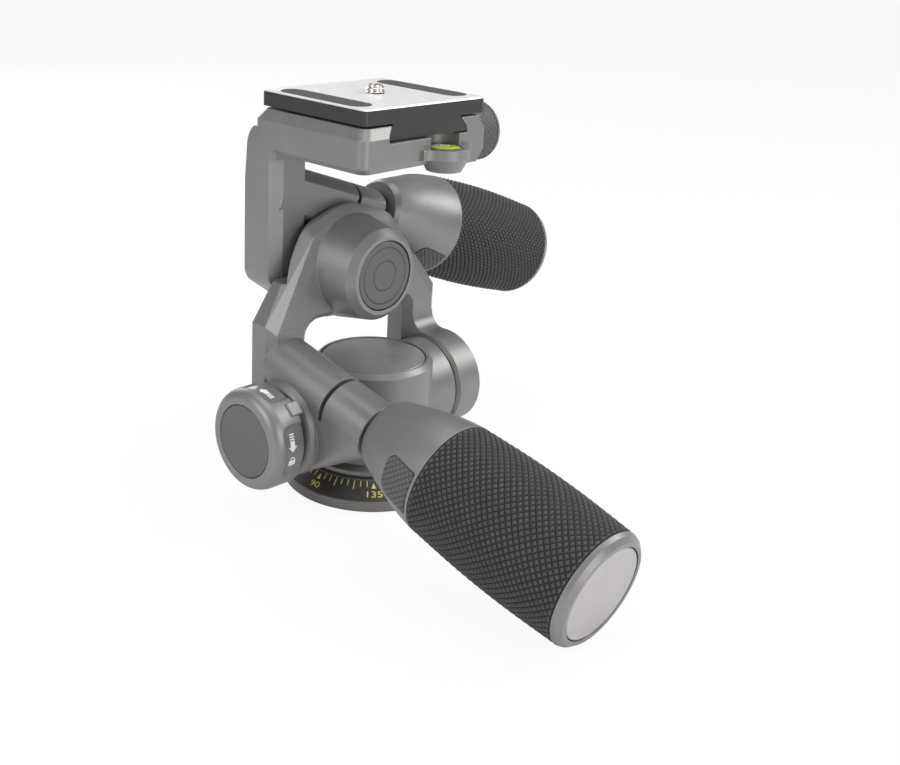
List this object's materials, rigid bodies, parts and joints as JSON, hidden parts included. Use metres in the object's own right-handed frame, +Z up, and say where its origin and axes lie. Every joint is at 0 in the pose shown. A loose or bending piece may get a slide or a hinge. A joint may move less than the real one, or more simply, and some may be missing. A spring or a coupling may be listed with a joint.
{
  "type": "three way pan tilt head",
  "caption": "Compact three way pan and tilt head with a round degree scale base, two rubber grip clamp handles, a pan lock knob and a dovetail quick release plate",
  "frame": {"origin": "Centre of the base's underside, at the mouth of the tripod socket", "axes": "+Z up along the pan axis, +X along the tilt axis to the plain ear side, -Y towards the front handle and the round roll boss"},
  "size_m": [0.1695, 0.173, 0.1385],
  "materials": {
    "cast": "satin warm grey coat on cast metal",
    "dark_metal": "fine dark grey coat",
    "plate_metal": "dark anodised sides with a bare machined top",
    "rubber": "charcoal ribbed rubber",
    "pale_disc": "satin turned aluminium",
    "steel": "turned steel",
    "bearing": "off-white bearing plastic",
    "brass": "machined brass",
    "fluid": "yellow green vial liquid",
    "lens": "clear domed vial window"
  },
  "bodies": {
    "root": {"base": "cast", "scale_ring": "dark_metal", "tripod_bush": "steel", "base_screws": "steel", "pan_spindle": "steel", "pan_washer": "bearing", "disc_washer": "steel", "spindle_nut": "steel"},
    "housing": {"pan_housing": "cast", "housing_cap": "dark_metal", "tilt_axle": "steel", "brake_shoe": "brass", "tilt_pin": "steel"},
    "yoke": {"yoke": "cast", "tilt_bush": "bearing", "ear_bush": "bearing", "ear_washer": "steel", "ear_screw": "steel", "ear_cover": "dark_metal", "roll_axle": "steel", "boss_cap": "dark_metal", "roll_washer": "steel", "roll_screw": "steel"},
    "pan_knob": {"pan_knob": "cast", "pan_knob_cap": "dark_metal", "pan_lock_screw": "steel"},
    "bracket": {"bracket": "cast", "roll_bush": "bearing", "level_cup": "dark_metal", "level_fluid": "fluid", "level_lens": "lens", "jaw_springs": "steel"},
    "jaw": {"jaw": "cast", "jaw_pins": "steel"},
    "clamp_knob": {"clamp_knob": "cast", "clamp_knob_grip": "dark_metal", "clamp_screw": "steel"},
    "plate": {"plate": "plate_metal", "plate_strips": "rubber", "plate_stops": "steel"},
    "camera_screw": {"camera_screw": "steel"},
    "front_handle": {"front_stud": "steel", "front_collar": "cast", "front_tabs": "rubber", "front_core": "steel", "front_grip": "rubber", "front_end_ring": "cast", "front_end_disc": "pale_disc"},
    "rear_handle": {"rear_stud": "steel", "rear_collar": "cast", "rear_tabs": "rubber", "rear_core": "steel", "rear_grip": "rubber", "rear_end_ring": "cast", "rear_end_disc": "pale_disc"}
  },
  "joints": [
    {"name": "pan", "type": "hinge", "parent": "root", "child": "housing", "pos_m": [0, 0, 0.0293], "axis": [0, 0, 1], "continuous": true},
    {"name": "tilt", "type": "hinge", "parent": "housing", "child": "yoke", "pos_m": [0, 0, 0.0293], "axis": [1, 0, 0], "range_deg": [-70, 35]},
    {"name": "roll", "type": "hinge", "parent": "yoke", "child": "bracket", "pos_m": [0, 0.018, 0.0748], "axis": [0, -1, 0], "range_deg": [0, 78]},
    {"name": "pan_knob_turn", "type": "hinge", "parent": "housing", "child": "pan_knob", "pos_m": [-0.05, 0, 0.0293], "axis": [-1, 0, 0], "range_deg": [0, 270]},
    {"name": "front_handle_turn", "type": "hinge", "parent": "yoke", "child": "front_handle", "pos_m": [-0.0314, -0.03562, 0.03858], "axis": [0, -0.9732, -0.23], "range_deg": [0, 360]},
    {"name": "rear_handle_turn", "type": "hinge", "parent": "bracket", "child": "rear_handle", "pos_m": [0.02206, 0.02695, 0.08889], "axis": [0.9466, 0, -0.3223], "range_deg": [0, 360]},
    {"name": "jaw_slide", "type": "slide", "parent": "bracket", "child": "jaw", "axis": [1, 0, 0], "range_m": [0, 0.003]},
    {"name": "clamp_knob_turn", "type": "hinge", "parent": "jaw", "child": "clamp_knob", "pos_m": [0.02792, 0.0005, 0.1196], "axis": [1, 0, 0], "range_deg": [0, 1080]},
    {"name": "plate_slide", "type": "slide", "parent": "bracket", "child": "plate", "axis": [0, 1, 0], "range_m": [-0.02, 0.02]},
    {"name": "camera_screw_turn", "type": "hinge", "parent": "plate", "child": "camera_screw", "pos_m": [0, 0.0042, 0.1357], "axis": [0, 0, 1], "continuous": true}
  ],
  "couplings": [
    {"joint": "clamp_knob_turn", "follows": "jaw_slide", "rad_per_m": 6283.2}
  ]
}
